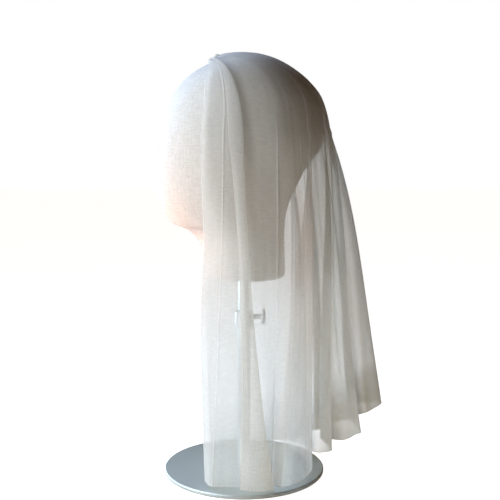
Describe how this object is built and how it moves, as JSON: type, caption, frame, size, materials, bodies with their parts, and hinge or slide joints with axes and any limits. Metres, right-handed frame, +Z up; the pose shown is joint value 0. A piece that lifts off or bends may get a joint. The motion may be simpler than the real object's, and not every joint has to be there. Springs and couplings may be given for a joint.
{
  "type": "bridal veil on a head form stand",
  "caption": "Sheer gathered bridal veil with a hair comb, hanging in folds over a faceless head form on a round base plate.",
  "frame": {"origin": "centre of the base plate's underside, on the axis of the post", "axes": "+Z up along the post, -Y the way the head form faces, +X its left side, which the picture shows"},
  "size_m": [0.2046, 0.2784, 0.517],
  "materials": {
    "brushed_plate_steel": "brushed",
    "plated_tube_steel": "satin plated",
    "natural_canvas": "fine woven canvas",
    "comb_wire_steel": "bright wire",
    "ivory_binding": "gathered tulle roll",
    "ivory_tulle": "sheer fine tulle"
  },
  "bodies": {
    "stand": {"base_plate": "brushed_plate_steel", "lower_tube": "plated_tube_steel", "clamp_collar": "plated_tube_steel"},
    "clamp": {"clamp_knob": "plated_tube_steel"},
    "post": {"upper_tube": "plated_tube_steel"},
    "head": {"head_form": "natural_canvas", "veil_comb": "comb_wire_steel", "veil_heading": "ivory_binding", "veil_panel": "ivory_tulle"}
  },
  "joints": [
    {"name": "clamp_screw", "type": "hinge", "parent": "stand", "child": "clamp", "pos_m": [0, 0.0221, 0.1959], "axis": [0, 1, 0], "range_deg": [0, 360]},
    {"name": "post_slide", "type": "slide", "parent": "stand", "child": "post", "axis": [0, 0, 1], "range_m": [0, 0.09]},
    {"name": "head_swivel", "type": "hinge", "parent": "post", "child": "head", "pos_m": [0, 0, 0.2465], "axis": [0, 0, 1], "continuous": true}
  ]
}
